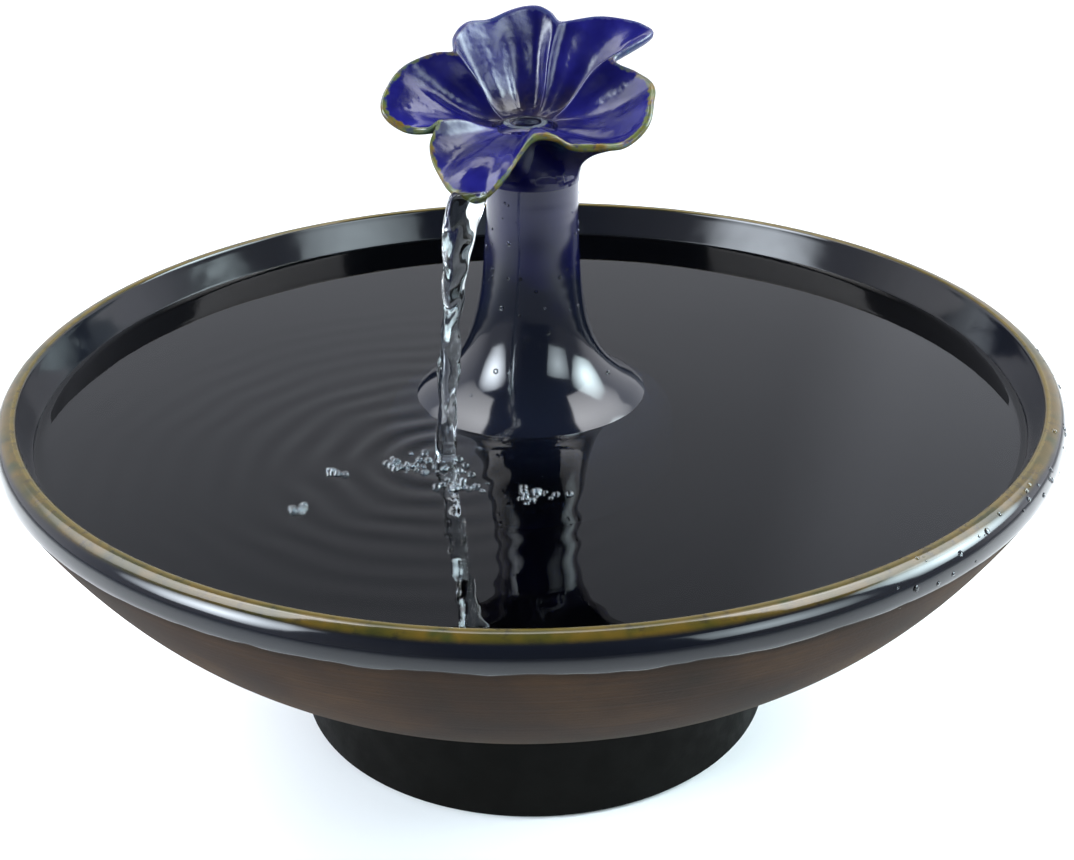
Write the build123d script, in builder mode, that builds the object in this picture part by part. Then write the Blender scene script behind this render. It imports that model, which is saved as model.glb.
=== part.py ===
from build123d import *
import os
from math import cos, pi, radians, sin, sqrt

# A tabletop flower fountain. A stoneware bowl stands on a black ring stand. A glazed bell
# column with a flower bowl on top stands in the water and covers a small submersible pump,
# which lifts the water through a clear tube to the flower. Millimetres, +Z up, and the
# origin is the middle of the stand's underside.

os.makedirs("parts", exist_ok=True)

# --- Driving dimensions ------------------------------------------------------------------
# Stand
stand_foot_r = 79.0
stand_top_r = 80.0
stand_wall = 4.0
stand_top_z = 45.5
grip_height = 1.2          # how far the rubber grip ring stands below the stand
ledge_z = 38.0             # top of the ledge that carries the bowl
ledge_thickness = 3.5
ledge_inner_r = 58.0
cushion_thickness = 2.0

# Bowl
bowl_foot_z = ledge_z + cushion_thickness
bowl_foot_inner_r = 66.0
bowl_foot_outer_r = 74.0
bowl_underside_z = 46.5
bowl_floor_z = 56.0
bowl_widest_r = 162.3
bowl_widest_z = 112.0
rim_z = 120.3
rim_crest_r = 157.0
rim_inner_r = 155.4
water_z = 108.2
bowl_water_r = 151.9       # the inner wall's radius at the water line

# Bell column
bell_r = 46.0
bell_wall = 5.5
bell_shoulder_z = 84.0
bell_cavity_top_z = 108.0
stem_r = 14.0
stem_top_z = 178.0
arch_width = 14.0
arch_height = 9.0

# Flower bowl on the stem
petals = 5
spout_angle = -112.0       # the petal that pours, in degrees from +X
rim_tilt = 21.5            # the flower leans towards the front
flower_throat_z = 193.0
flower_rim_r = 40.0
flower_wall = 4.0
flower_shift = (-2.5, -4.0)  # the rim's middle, across and forward of the stem

# Riser tube
tube_outer_r = 6.35
tube_inner_r = 4.75
tube_bore_r = tube_outer_r + 1.25
tube_foot_z = 97.5
sleeve_feet = (114.0, 166.0)
sleeve_length = 8.0
fit_gap = 0.02             # left around pieces that are pushed or glued in

# Pump
cup_height = 3.5
pump_base_z = bowl_floor_z + cup_height
pump_half_width = 17.5
housing_front_y = 8.0
housing_rear_y = 31.0
housing_top_z = 94.0
housing_wall = 2.0
rotor_z = 72.0
chamber_r = 7.9
chamber_wall = 1.4
chamber_end_y = 27.0
magnet_r = 7.2
shaft_r = 1.0
running_gap = 0.05
impeller_r = 10.6
blade_count = 6
volute_r = 11.8
volute_front_y = -7.0
volute_top_z = 87.0
volute_half_width = 16.5
nozzle_r = tube_inner_r - running_gap
nozzle_bore_r = 3.3
nozzle_top_z = 107.5
intake_front_y = -19.5
intake_top_z = 90.0
intake_wall = 1.6
foam_front_y = -15.0
foam_gap = 0.5
dial_z = 74.0
dial_r = 8.5
dial_thickness = 1.8
dial_hole_r = 1.5
dial_hole_ring_r = 5.2
dial_holes = 5
dial_grip = 1.8          # how far the finger bar stands out
cup_r = 7.0
cup_stem_r = 1.9
cup_seats = [(-10.5, 25.0), (10.5, 25.0), (-10.5, -1.0), (10.5, -1.0)]
gland_x = -9.5
gland_z = 77.0
gland_r = 2.6
gland_bore_r = 1.8
gland_front_y = 28.8
gland_rear_y = 35.0


def across(y):
    """A plane square to the pump's rotor axis, at that depth, facing the front."""
    return Plane(origin=(0, y, 0), x_dir=(1, 0, 0), z_dir=(0, -1, 0))


# --- Stand -------------------------------------------------------------------------------
with BuildPart() as stand_ring:
    with BuildSketch(Plane.XZ) as stand_section:
        with BuildLine():
            Polyline(
                (stand_foot_r - stand_wall, grip_height),
                (stand_foot_r, grip_height),
                (stand_top_r, stand_top_z),
                (stand_top_r - stand_wall, stand_top_z),
                (stand_top_r - stand_wall, ledge_z),
                (ledge_inner_r, ledge_z),
                (ledge_inner_r, ledge_z - ledge_thickness),
                (stand_foot_r - stand_wall - 3, ledge_z - ledge_thickness),
                (stand_foot_r - stand_wall, ledge_z - ledge_thickness - 6),
                close=True,
            )
        make_face()
    revolve(axis=Axis.Z)
    # Groove for the rubber grip ring.
    with BuildSketch(Plane.XY.offset(grip_height)):
        Circle(stand_foot_r - 1.0)
        Circle(stand_foot_r - 3.2, mode=Mode.SUBTRACT)
    extrude(amount=1.6, mode=Mode.SUBTRACT)
stand_ring.part.label = "stand_ring"

with BuildPart() as grip_ring:
    with BuildSketch():
        Circle(stand_foot_r - 1.05)
        Circle(stand_foot_r - 3.15, mode=Mode.SUBTRACT)
    extrude(amount=grip_height + 1.5)
    chamfer(grip_ring.edges().group_by(Axis.Z)[0], length=0.3)
grip_ring.part.label = "grip_ring"

with BuildPart() as bowl_cushion:
    with BuildSketch(Plane.XY.offset(ledge_z)):
        Circle(bowl_foot_outer_r + 1)
        Circle(bowl_foot_inner_r - 3, mode=Mode.SUBTRACT)
    extrude(amount=cushion_thickness)
bowl_cushion.part.label = "bowl_cushion"

# --- Bowl --------------------------------------------------------------------------------
with BuildPart() as bowl:
    with BuildSketch(Plane.XZ) as bowl_section:
        with BuildLine():
            Polyline(
                (0, bowl_underside_z),
                (bowl_foot_inner_r, bowl_underside_z),
                (bowl_foot_inner_r, bowl_foot_z),
                (bowl_foot_outer_r, bowl_foot_z),
                (bowl_foot_outer_r, bowl_underside_z),
                (stand_top_r, bowl_underside_z),
            )
            Bezier(
                (stand_top_r, bowl_underside_z),
                (129, 49),
                (bowl_widest_r, bowl_widest_z),
            )
            ThreePointArc(
                (bowl_widest_r, bowl_widest_z),
                (161.4, 117.4),
                (rim_crest_r, rim_z),
            )
            ThreePointArc(
                (rim_crest_r, rim_z),
                (rim_inner_r + 0.4, rim_z - 0.35),
                (rim_inner_r, rim_z - 1.3),
            )
            Line((rim_inner_r, rim_z - 1.3), (bowl_water_r, water_z))
            Bezier(
                (bowl_water_r, water_z),
                (138, 82),
                (118, bowl_floor_z),
                (58, bowl_floor_z),
            )
            Polyline((58, bowl_floor_z), (0, bowl_floor_z), (0, bowl_underside_z))
        make_face()
    revolve(axis=Axis.Z)
    fillet(bowl.edges().group_by(Axis.Z)[0], radius=1.2)
bowl.part.label = "bowl"

# --- Bell column -------------------------------------------------------------------------
with BuildPart() as bell_column:
    with BuildSketch(Plane.XZ) as bell_section:
        with BuildLine():
            Line((bell_r, bowl_floor_z), (bell_r, bell_shoulder_z))
            Bezier((bell_r, bell_shoulder_z), (bell_r, 102), (33.4, 110.4))
            Bezier((33.4, 110.4), (19.4, 119.7), (15.6, 132), (stem_r, 164))
            Polyline(
                (stem_r, 164),
                (stem_r, stem_top_z),
                (tube_bore_r, stem_top_z),
                (tube_bore_r, bell_cavity_top_z),
            )
            Bezier(
                (tube_bore_r, bell_cavity_top_z),
                (bell_r - bell_wall - 2, bell_cavity_top_z),
                (bell_r - bell_wall, bell_shoulder_z),
            )
            Polyline(
                (bell_r - bell_wall, bell_shoulder_z),
                (bell_r - bell_wall, bowl_floor_z),
                (bell_r, bowl_floor_z),
            )
        make_face()
    revolve(axis=Axis.Z)
    # Arches in the skirt that let the water in to the pump, at the two sides and the back.
    for turn in (0, 90, 180):
        face_plane = Plane(
            origin=(0, 0, bowl_floor_z),
            x_dir=(-sin(radians(turn)), cos(radians(turn)), 0),
            z_dir=(cos(radians(turn)), sin(radians(turn)), 0),
        )
        with BuildSketch(face_plane):
            with Locations((0, (arch_height - arch_width / 2) / 2)):
                Rectangle(arch_width, arch_height - arch_width / 2)
            with Locations((0, arch_height - arch_width / 2)):
                Circle(arch_width / 2)
            with Locations((0, -arch_width)):
                Rectangle(2 * arch_width, 2 * arch_width, mode=Mode.SUBTRACT)
        extrude(amount=bell_r + 2, mode=Mode.SUBTRACT)
bell_column.part.label = "bell_column"

# --- Flower bowl -------------------------------------------------------------------------


def petal_outline(radius, lobe, tongue):
    """Points of a rim of petals: round where lobe is 0, with one longer petal to pour from."""
    spout = radians(spout_angle)
    points = []
    for step in range(6 * petals):
        turn = 2 * pi * step / (6 * petals)
        reach = radius * (1 + lobe * cos(petals * (turn - spout)))
        reach += tongue * max(0, cos(turn - spout)) ** 8
        points.append((reach * cos(turn), reach * sin(turn)))
    return points


def leaning_plane(lean, height, share):
    """A plane across the flower, leaning forwards, its middle moved by a share of the shift."""
    return Plane(
        origin=(flower_shift[0] * share, flower_shift[1] * share, height),
        x_dir=(1, 0, 0),
        z_dir=(0, -sin(radians(lean)), cos(radians(lean))),
    )


outside_rings = [
    (leaning_plane(0, stem_top_z, 0), stem_r, 0, 0),
    (leaning_plane(0, 183.5, 0), 16.0, 0, 0),
    (leaning_plane(rim_tilt / 2, 191, 0.5), 29, 0.05, 2),
    (leaning_plane(rim_tilt, 202, 1), flower_rim_r, 0.10, 9),
]
inside_rings = [
    (leaning_plane(0, flower_throat_z, 0), tube_bore_r + 1, 0, 0),
    (leaning_plane(rim_tilt / 2, 196.5, 0.5), 24, 0.05, 2),
    (leaning_plane(rim_tilt, 202, 1), flower_rim_r - flower_wall + 0.8, 0.10, 9),
]

with BuildPart() as flower_head:
    for plane, radius, lobe, tongue in outside_rings:
        with BuildSketch(plane):
            with BuildLine():
                Spline(*petal_outline(radius, lobe, tongue), periodic=True)
            make_face()
    loft()
    for plane, radius, lobe, tongue in inside_rings:
        with BuildSketch(plane):
            with BuildLine():
                Spline(*petal_outline(radius, lobe, tongue), periodic=True)
            make_face()
    loft(mode=Mode.SUBTRACT)
    with BuildSketch(Plane.XY.offset(stem_top_z)):
        Circle(tube_bore_r)
    extrude(amount=flower_throat_z - stem_top_z + 2, mode=Mode.SUBTRACT)
flower_head.part.label = "flower_head"

with BuildPart() as riser_tube:
    with BuildSketch(Plane.XY.offset(tube_foot_z)):
        Circle(tube_outer_r)
        Circle(tube_inner_r, mode=Mode.SUBTRACT)
    extrude(amount=flower_throat_z - tube_foot_z)
riser_tube.part.label = "riser_tube"

with BuildPart() as tube_sleeves:
    for foot_z in sleeve_feet:
        with BuildSketch(Plane.XY.offset(foot_z)):
            Circle(tube_bore_r - fit_gap)
            Circle(tube_outer_r + fit_gap, mode=Mode.SUBTRACT)
        extrude(amount=sleeve_length)
tube_sleeves.part.label = "tube_sleeves"

# --- Pump motor --------------------------------------------------------------------------
pocket_front_y = housing_front_y + 2.5
pocket_half_width = pump_half_width - housing_wall
pocket_floor_z = pump_base_z + housing_wall
pocket_top_z = housing_top_z - housing_wall
chamber_outer_r = chamber_r + chamber_wall
chamber_back_y = chamber_end_y + 1.6
bush_r = 3.0
front_bush_r = 1.8
bush_length = 2.2


def block(front_y, rear_y, half_width, low_z, high_z, mode=Mode.ADD):
    """A box on the pump's middle plane."""
    with Locations((0, (front_y + rear_y) / 2, (low_z + high_z) / 2)):
        return Box(2 * half_width, rear_y - front_y, high_z - low_z, mode=mode)


def rod(radius, front_y, rear_y, height=rotor_z, x=0, mode=Mode.ADD):
    """A cylinder along the rotor axis."""
    with Locations(Location((x, (front_y + rear_y) / 2, height), (90, 0, 0))):
        return Cylinder(radius, rear_y - front_y, mode=mode)


with BuildPart() as motor_housing:
    block(housing_front_y, housing_rear_y, pump_half_width, pump_base_z, housing_top_z)
    fillet(motor_housing.edges().filter_by(Axis.Y), radius=4)
    block(
        pocket_front_y, housing_rear_y, pocket_half_width, pocket_floor_z, pocket_top_z,
        mode=Mode.SUBTRACT,
    )
    rod(chamber_outer_r, housing_front_y, chamber_back_y)
    rod(chamber_r, housing_front_y, chamber_end_y, mode=Mode.SUBTRACT)
    # Collar that holds the shaft's rear bush.
    rod(bush_r + 1.2, chamber_end_y - bush_length, chamber_end_y)
    rod(bush_r + fit_gap, chamber_end_y - bush_length, chamber_end_y, mode=Mode.SUBTRACT)
    # Groove for the seal in the front face.
    with BuildSketch(across(housing_front_y)):
        with Locations((0, rotor_z)):
            Circle(13.6)
            Circle(12.2, mode=Mode.SUBTRACT)
    extrude(amount=-1.0, mode=Mode.SUBTRACT)
    # Seats for the two rear suction cups.
    with Locations(*[(x, y, pump_base_z) for x, y in cup_seats[:2]]):
        Cylinder(
            cup_stem_r + 0.1, housing_wall, mode=Mode.SUBTRACT,
            align=(Align.CENTER, Align.CENTER, Align.MIN),
        )
motor_housing.part.label = "motor_housing"

core_front_y, core_rear_y = 13.2, 24.6
core_half_width = 14.2
core_leg_inner_x = 7.6
core_low_z, core_top_z = 62.5, 89.5
yoke_thickness = 5.0
yoke_low_z = core_top_z - yoke_thickness

with BuildPart() as stator_core:
    block(core_front_y, core_rear_y, core_half_width, core_low_z, core_top_z)
    block(
        core_front_y, core_rear_y, core_leg_inner_x, core_low_z, yoke_low_z,
        mode=Mode.SUBTRACT,
    )
    # Pole shoes follow the rotor chamber's wall.
    rod(chamber_outer_r + 0.2, core_front_y, core_rear_y, mode=Mode.SUBTRACT)
stator_core.part.label = "stator_core"

bobbin_wall = 0.8
bobbin_half_length = core_leg_inner_x - 0.1
flange_thickness = 0.9
winding_build = 1.5
bobbin_gap = 0.05


def yoke_sleeve(half_length, margin, x=0, mode=Mode.ADD):
    """A block around the yoke, standing out from it by the margin all round."""
    with Locations((x, (core_front_y + core_rear_y) / 2, (yoke_low_z + core_top_z) / 2)):
        return Box(
            2 * half_length,
            core_rear_y - core_front_y + 2 * margin,
            yoke_thickness + 2 * margin,
            mode=mode,
        )


with BuildPart() as coil_bobbin:
    yoke_sleeve(bobbin_half_length, bobbin_wall)
    flange_x = bobbin_half_length - flange_thickness / 2
    for side in (-1, 1):
        yoke_sleeve(flange_thickness / 2, bobbin_wall + winding_build, side * flange_x)
    yoke_sleeve(bobbin_half_length + 1, bobbin_gap, mode=Mode.SUBTRACT)
coil_bobbin.part.label = "coil_bobbin"

winding_half_length = bobbin_half_length - flange_thickness
with BuildPart() as copper_coil:
    yoke_sleeve(winding_half_length, bobbin_wall + winding_build - 0.2)
    fillet(copper_coil.edges().filter_by(Axis.X), radius=1.2)
    yoke_sleeve(winding_half_length + 1, bobbin_wall, mode=Mode.SUBTRACT)
copper_coil.part.label = "copper_coil"

resin_rear_y = housing_rear_y - 0.6
with BuildPart() as potting_resin:
    block(
        pocket_front_y, resin_rear_y, pocket_half_width, pocket_floor_z, pocket_top_z
    )
    rod(chamber_outer_r, pocket_front_y, chamber_back_y, mode=Mode.SUBTRACT)
    yoke_sleeve(bobbin_half_length, bobbin_wall + winding_build, mode=Mode.SUBTRACT)
    add(stator_core.part, mode=Mode.SUBTRACT)
    # Room for the gland's spigot.
    rod(gland_r, gland_front_y, housing_rear_y, gland_z, gland_x, mode=Mode.SUBTRACT)
potting_resin.part.label = "potting_resin"

with BuildPart() as cable_gland:
    rod(gland_r, gland_front_y, resin_rear_y, gland_z, gland_x)
    rod(gland_r + 0.8, resin_rear_y, gland_rear_y, gland_z, gland_x)
    fillet(cable_gland.edges().sort_by(Axis.Y)[-1], radius=0.8)
    rod(gland_bore_r, resin_rear_y, gland_rear_y, gland_z, gland_x, mode=Mode.SUBTRACT)
cable_gland.part.label = "cable_gland"

# --- Rotor -------------------------------------------------------------------------------
sleeve_r = 1.95
hub_r = 2.6
disc_back_y, disc_front_y = 7.2, 5.8
blade_front_y = -3.4
magnet_front_y = 8.6
magnet_rear_y = chamber_end_y - bush_length - 0.6

with BuildPart() as impeller:
    rod(impeller_r, disc_front_y, disc_back_y)
    rod(hub_r, blade_front_y, disc_back_y)
    rod(sleeve_r, disc_back_y, magnet_rear_y)
    with BuildSketch(across(disc_front_y)):
        for blade in range(blade_count):
            lead = 2 * pi * blade / blade_count
            with BuildLine():
                ThreePointArc(
                    (hub_r * 0.9 * cos(lead), rotor_z + hub_r * 0.9 * sin(lead)),
                    (6.4 * cos(lead + 0.28), rotor_z + 6.4 * sin(lead + 0.28)),
                    (10.2 * cos(lead + 0.75), rotor_z + 10.2 * sin(lead + 0.75)),
                )
            trace(line_width=1.1)
    extrude(amount=disc_front_y - blade_front_y)
    rod(shaft_r + running_gap, blade_front_y - 2, magnet_rear_y + 1, mode=Mode.SUBTRACT)
impeller.part.label = "impeller"

with BuildPart() as rotor_magnet:
    rod(magnet_r, magnet_front_y, magnet_rear_y)
    chamfer(rotor_magnet.edges().filter_by(GeomType.CIRCLE), length=0.5)
    rod(sleeve_r + fit_gap, magnet_front_y - 1, magnet_rear_y + 1, mode=Mode.SUBTRACT)
rotor_magnet.part.label = "rotor_magnet"

shaft_front_y = volute_front_y + 0.8
shaft_rear_y = chamber_end_y - 0.6
with BuildPart() as rotor_shaft:
    rod(shaft_r, shaft_front_y, shaft_rear_y)
    chamfer(rotor_shaft.edges().filter_by(GeomType.CIRCLE), length=0.2)
rotor_shaft.part.label = "rotor_shaft"

with BuildPart() as rear_bush:
    rod(bush_r, chamber_end_y - bush_length, chamber_end_y)
    rod(shaft_r + fit_gap, chamber_end_y - bush_length - 1, shaft_rear_y, mode=Mode.SUBTRACT)
rear_bush.part.label = "rear_bush"

with BuildPart() as front_bush:
    rod(front_bush_r, volute_front_y, volute_front_y + 2.6)
    rod(shaft_r + fit_gap, shaft_front_y, volute_front_y + 4, mode=Mode.SUBTRACT)
front_bush.part.label = "front_bush"

# --- Pump head ---------------------------------------------------------------------------
with BuildPart() as volute_seal:
    with BuildSketch(across(housing_front_y)):
        with Locations((0, rotor_z)):
            Circle(13.6 - fit_gap)
            Circle(12.2 + fit_gap, mode=Mode.SUBTRACT)
    extrude(amount=-0.98)
volute_seal.part.label = "volute_seal"

eye_r = 5.0
boss_r = 3.0
volute_wall = 2.0

with BuildPart() as volute_cover:
    block(volute_front_y, housing_front_y, volute_half_width, pump_base_z, volute_top_z)
    fillet(volute_cover.edges().filter_by(Axis.Y), radius=4)
    with Locations((0, 0, volute_top_z)):
        Cylinder(6.6, 2.5, align=(Align.CENTER, Align.CENTER, Align.MIN))
        Cylinder(
            nozzle_r, nozzle_top_z - volute_top_z,
            align=(Align.CENTER, Align.CENTER, Align.MIN),
        )
    chamfer(volute_cover.edges().sort_by(Axis.Z)[-1], length=0.7)
    rod(volute_r, volute_front_y + volute_wall, housing_front_y, mode=Mode.SUBTRACT)
    rod(eye_r, volute_front_y, volute_front_y + volute_wall, mode=Mode.SUBTRACT)
    with Locations((0, 0, rotor_z + volute_r - 3)):
        Cylinder(
            nozzle_bore_r, nozzle_top_z, mode=Mode.SUBTRACT,
            align=(Align.CENTER, Align.CENTER, Align.MIN),
        )
    # Spider with the boss for the shaft's front bush.
    with BuildSketch(across(volute_front_y + volute_wall)):
        with Locations((0, rotor_z)):
            with PolarLocations(0, 3, start_angle=90):
                with Locations(((eye_r + 0.5) / 2, 0)):
                    Rectangle(eye_r + 0.5, 1.4)
            Circle(boss_r)
    extrude(amount=volute_wall)
    rod(boss_r, volute_front_y + volute_wall, volute_front_y + 2.6)
    rod(front_bush_r + fit_gap, volute_front_y, volute_front_y + 2.6, mode=Mode.SUBTRACT)
    # Seats for the two front suction cups.
    with Locations(*[(x, y, pump_base_z) for x, y in cup_seats[2:]]):
        Cylinder(
            cup_stem_r + 0.1, housing_wall, mode=Mode.SUBTRACT,
            align=(Align.CENTER, Align.CENTER, Align.MIN),
        )
volute_cover.part.label = "volute_cover"

dial_pin_r = 1.4
slot_width = 1.8
slot_height = 20.0
slot_pitch = 3.4
with BuildPart() as intake_cover:
    block(intake_front_y, volute_front_y, pump_half_width, pump_base_z, intake_top_z)
    fillet(intake_cover.edges().filter_by(Axis.Y), radius=4)
    fillet(intake_cover.edges().group_by(Axis.Y)[0], radius=1.5)
    block(
        intake_front_y + intake_wall, volute_front_y,
        pump_half_width - intake_wall,
        pump_base_z + intake_wall, intake_top_z - intake_wall,
        mode=Mode.SUBTRACT,
    )
    with BuildSketch(across(intake_front_y)):
        with Locations((0, dial_z)):
            with PolarLocations(dial_hole_ring_r, dial_holes):
                Circle(dial_hole_r)
            Circle(dial_pin_r + running_gap)
        for side in (-1, 1):
            with Locations((side * (dial_r + 1.6 + slot_pitch / 2), dial_z)):
                with GridLocations(slot_pitch, 1, 2, 1):
                    SlotOverall(slot_height, slot_width, rotation=90)
    extrude(amount=-intake_wall, mode=Mode.SUBTRACT)
intake_cover.part.label = "intake_cover"

with BuildPart() as intake_foam:
    block(
        foam_front_y, volute_front_y, pump_half_width - intake_wall - foam_gap,
        pump_base_z + intake_wall + foam_gap, intake_top_z - intake_wall - foam_gap,
    )
    fillet(intake_foam.edges().filter_by(Axis.Y), radius=2)
intake_foam.part.label = "intake_foam"

dial_gap = 0.3
dial_back_y = intake_front_y - dial_gap
pin_head_y = intake_front_y + intake_wall + dial_gap
with BuildPart() as flow_dial:
    rod(dial_r, dial_back_y - dial_thickness, dial_back_y, dial_z)
    with BuildSketch(across(dial_back_y)):
        with Locations((0, dial_z)):
            with PolarLocations(dial_hole_ring_r, dial_holes):
                Circle(dial_hole_r)
    extrude(amount=dial_thickness, mode=Mode.SUBTRACT)
    # Finger bar across the dial, and the pin that it turns on with its snap head.
    block(
        dial_back_y - dial_thickness - dial_grip, dial_back_y - dial_thickness,
        1.0, dial_z - dial_r + 1, dial_z + dial_r - 1,
    )
    rod(dial_pin_r, dial_back_y, pin_head_y, dial_z)
    rod(dial_pin_r + 0.6, pin_head_y, pin_head_y + 1.2, dial_z)
flow_dial.part.label = "flow_dial"

with BuildPart() as suction_cups:
    with BuildSketch(Plane.XZ):
        with BuildLine():
            Polyline(
                (0, pump_base_z + housing_wall - 0.2),
                (cup_stem_r, pump_base_z + housing_wall - 0.2),
                (cup_stem_r, pump_base_z),
                (2.6, pump_base_z),
                (2.8, pump_base_z - 1.0),
                (cup_r, bowl_floor_z + 0.5),
                (cup_r, bowl_floor_z),
                (cup_r - 0.8, bowl_floor_z),
                (0, bowl_floor_z + 1.2),
                close=True,
            )
        make_face()
    cup = revolve(axis=Axis.Z, mode=Mode.PRIVATE)
    with Locations(*cup_seats):
        add(cup)
suction_cups.part.label = "suction_cups"

# --- Files -------------------------------------------------------------------------------
pieces = [
    stand_ring, grip_ring, bowl_cushion, bowl, bell_column, flower_head, riser_tube,
    tube_sleeves,
    motor_housing, stator_core, coil_bobbin, copper_coil, potting_resin, cable_gland,
    impeller, rotor_magnet, rotor_shaft, rear_bush, front_bush, volute_seal,
    volute_cover, intake_cover, intake_foam, flow_dial, suction_cups,
]
for piece in pieces:
    export_step(piece.part, f"parts/{piece.part.label}.step")
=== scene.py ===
import math
import random
from functools import partial

import bmesh
import bpy
from bpy.props import FloatProperty, IntProperty, PointerProperty, StringProperty
from mathutils import Matrix, Vector, noise


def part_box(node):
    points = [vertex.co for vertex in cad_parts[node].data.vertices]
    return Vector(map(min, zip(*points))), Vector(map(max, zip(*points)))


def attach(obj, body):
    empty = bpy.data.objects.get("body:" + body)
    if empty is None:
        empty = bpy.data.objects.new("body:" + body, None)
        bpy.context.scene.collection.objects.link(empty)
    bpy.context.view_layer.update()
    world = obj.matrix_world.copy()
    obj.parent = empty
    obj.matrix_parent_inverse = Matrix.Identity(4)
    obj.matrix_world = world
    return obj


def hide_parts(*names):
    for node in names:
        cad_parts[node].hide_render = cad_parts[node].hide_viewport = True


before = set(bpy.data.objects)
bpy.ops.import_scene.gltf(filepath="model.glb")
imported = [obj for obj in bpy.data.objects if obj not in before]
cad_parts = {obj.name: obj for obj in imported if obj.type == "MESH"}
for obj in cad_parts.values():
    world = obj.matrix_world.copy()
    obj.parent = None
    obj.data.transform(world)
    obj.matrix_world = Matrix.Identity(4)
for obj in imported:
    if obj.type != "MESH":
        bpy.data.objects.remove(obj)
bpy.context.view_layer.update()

bl_info = {
    "name": "Flower Fountain",
    "version": (1, 0, 0),
    "blender": (4, 5, 0),
    "location": "View3D > Sidebar > Fountain",
    "description": "Glazes, fills and lights the packed flower fountain",
    "category": "Add Mesh",
}

MM = 0.001
BOWL_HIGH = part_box("bowl")[1]
BELL_LOW, BELL_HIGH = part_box("bell_column")
UNDER_HEX = "#0b0b34"
CAMERA_AIM = (0.002, 0.0, 0.0931)
CAMERA_PLACE = (0.002, -0.437, 0.3057)
CAMERA_ROLL = math.radians(-0.89)
CAMERA_LENS_MM = 50.3


# --- Shared modelling steps --------------------------------------------------------------
def start_mesh(name, add_primitive, **sizes):
    """Adds a primitive with nothing else selected, names it and leaves it in edit mode."""
    if bpy.context.object and bpy.context.object.mode != "OBJECT":
        bpy.ops.object.mode_set(mode="OBJECT")
    bpy.ops.object.select_all(action="DESELECT")
    add_primitive(**sizes)
    piece = bpy.context.object
    piece.name = name
    piece.data.name = name
    bpy.ops.object.mode_set(mode="EDIT")
    return piece


def settle(piece, angle=40, normals=True):
    """Leaves edit mode with doubles merged, normals outward, place applied and faces smooth."""
    if piece.mode != "EDIT":
        bpy.ops.object.mode_set(mode="EDIT")
    bpy.ops.mesh.select_all(action="SELECT")
    bpy.ops.mesh.remove_doubles(threshold=1e-6)
    if normals:
        bpy.ops.mesh.normals_make_consistent(inside=False)
    bpy.ops.object.mode_set(mode="OBJECT")
    bpy.ops.object.transform_apply(location=True, rotation=True, scale=True)
    bpy.ops.object.shade_smooth_by_angle(angle=math.radians(angle))
    return piece


def turned(name, profile, segments=256, closed="ring"):
    """Turns a profile of (radius, height) round the Z axis, ring by ring, as on a wheel.

    closed is "ring" to join the last ring to the first, "poles" where the profile starts and
    ends on the axis, or "open". The UV map's second number is the length along the profile.
    """
    first_r, first_z = profile[0]
    start_r = max(first_r, 1e-5)
    piece = start_mesh(
        name, bpy.ops.mesh.primitive_circle_add,
        vertices=segments, radius=start_r, location=(0, 0, first_z),
    )
    bpy.ops.mesh.select_all(action="SELECT")
    radius, height = start_r, 0.0
    for next_r, next_z in profile[1:]:
        next_r = max(next_r, 1e-5)
        bpy.ops.mesh.extrude_edges_move()
        bpy.ops.transform.resize(
            value=(next_r / radius, next_r / radius, 1), center_override=(0, 0, 0)
        )
        bpy.ops.transform.translate(value=(0, 0, next_z - first_z - height))
        radius, height = next_r, next_z - first_z
    bpy.ops.object.mode_set(mode="OBJECT")
    bpy.ops.object.transform_apply(location=True, rotation=True, scale=True)
    lengths = [0.0]
    for (r0, z0), (r1, z1) in zip(profile, profile[1:]):
        lengths.append(lengths[-1] + math.hypot(r1 - r0, z1 - z0))
    shape = bmesh.new()
    shape.from_mesh(piece.data)
    shape.verts.ensure_lookup_table()
    if closed == "ring":
        lengths.append(lengths[-1] + math.dist(profile[0], profile[-1]))
        last = len(profile) - 1
        for k in range(segments):
            after = (k + 1) % segments
            corner = [last * segments + k, last * segments + after, after, k]
            shape.faces.new([shape.verts[i] for i in corner])
    uv = shape.loops.layers.uv.verify()
    total = len(profile)
    for face in shape.faces:
        rows = [loop.vert.index // segments for loop in face.loops]
        columns = [loop.vert.index % segments for loop in face.loops]
        wraps = max(columns) - min(columns) > 1
        closing = max(rows) - min(rows) > 1
        for loop, row, column in zip(face.loops, rows, columns):
            turn = 1.0 if wraps and column == 0 else column / segments
            along = lengths[total] if closing and row == 0 else lengths[row]
            loop[uv].uv = (turn, along)
    shape.to_mesh(piece.data)
    shape.free()
    bpy.ops.object.mode_set(mode="EDIT")
    if closed == "poles":
        bpy.ops.mesh.select_all(action="SELECT")
        bpy.ops.mesh.remove_doubles(threshold=5e-5)
    return piece


def bezier(points, share):
    """One point of a Bezier curve."""
    level = [Vector(point) for point in points]
    while len(level) > 1:
        level = [a.lerp(b, share) for a, b in zip(level, level[1:])]
    return level[0]


def curve_points(*points, steps=12):
    """Points along a Bezier curve, without its first point."""
    return [tuple(bezier(points, step / steps)) for step in range(1, steps + 1)]


def reshape(piece, move):
    """Pushes each vertex by hand to where move says."""
    if piece.mode == "EDIT":
        bpy.ops.object.mode_set(mode="OBJECT")
    for vertex in piece.data.vertices:
        vertex.co = move(vertex.co.copy())
    piece.data.update()
    return piece


def dress(piece, material, body, slot, *nodes):
    """Gives a new piece its material, its body and the CAD nodes it stands for; slot is not used."""
    piece.data.materials.clear()
    piece.data.materials.append(material)
    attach(piece, body)
    if nodes:
        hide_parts(*nodes)
    return piece


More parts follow.
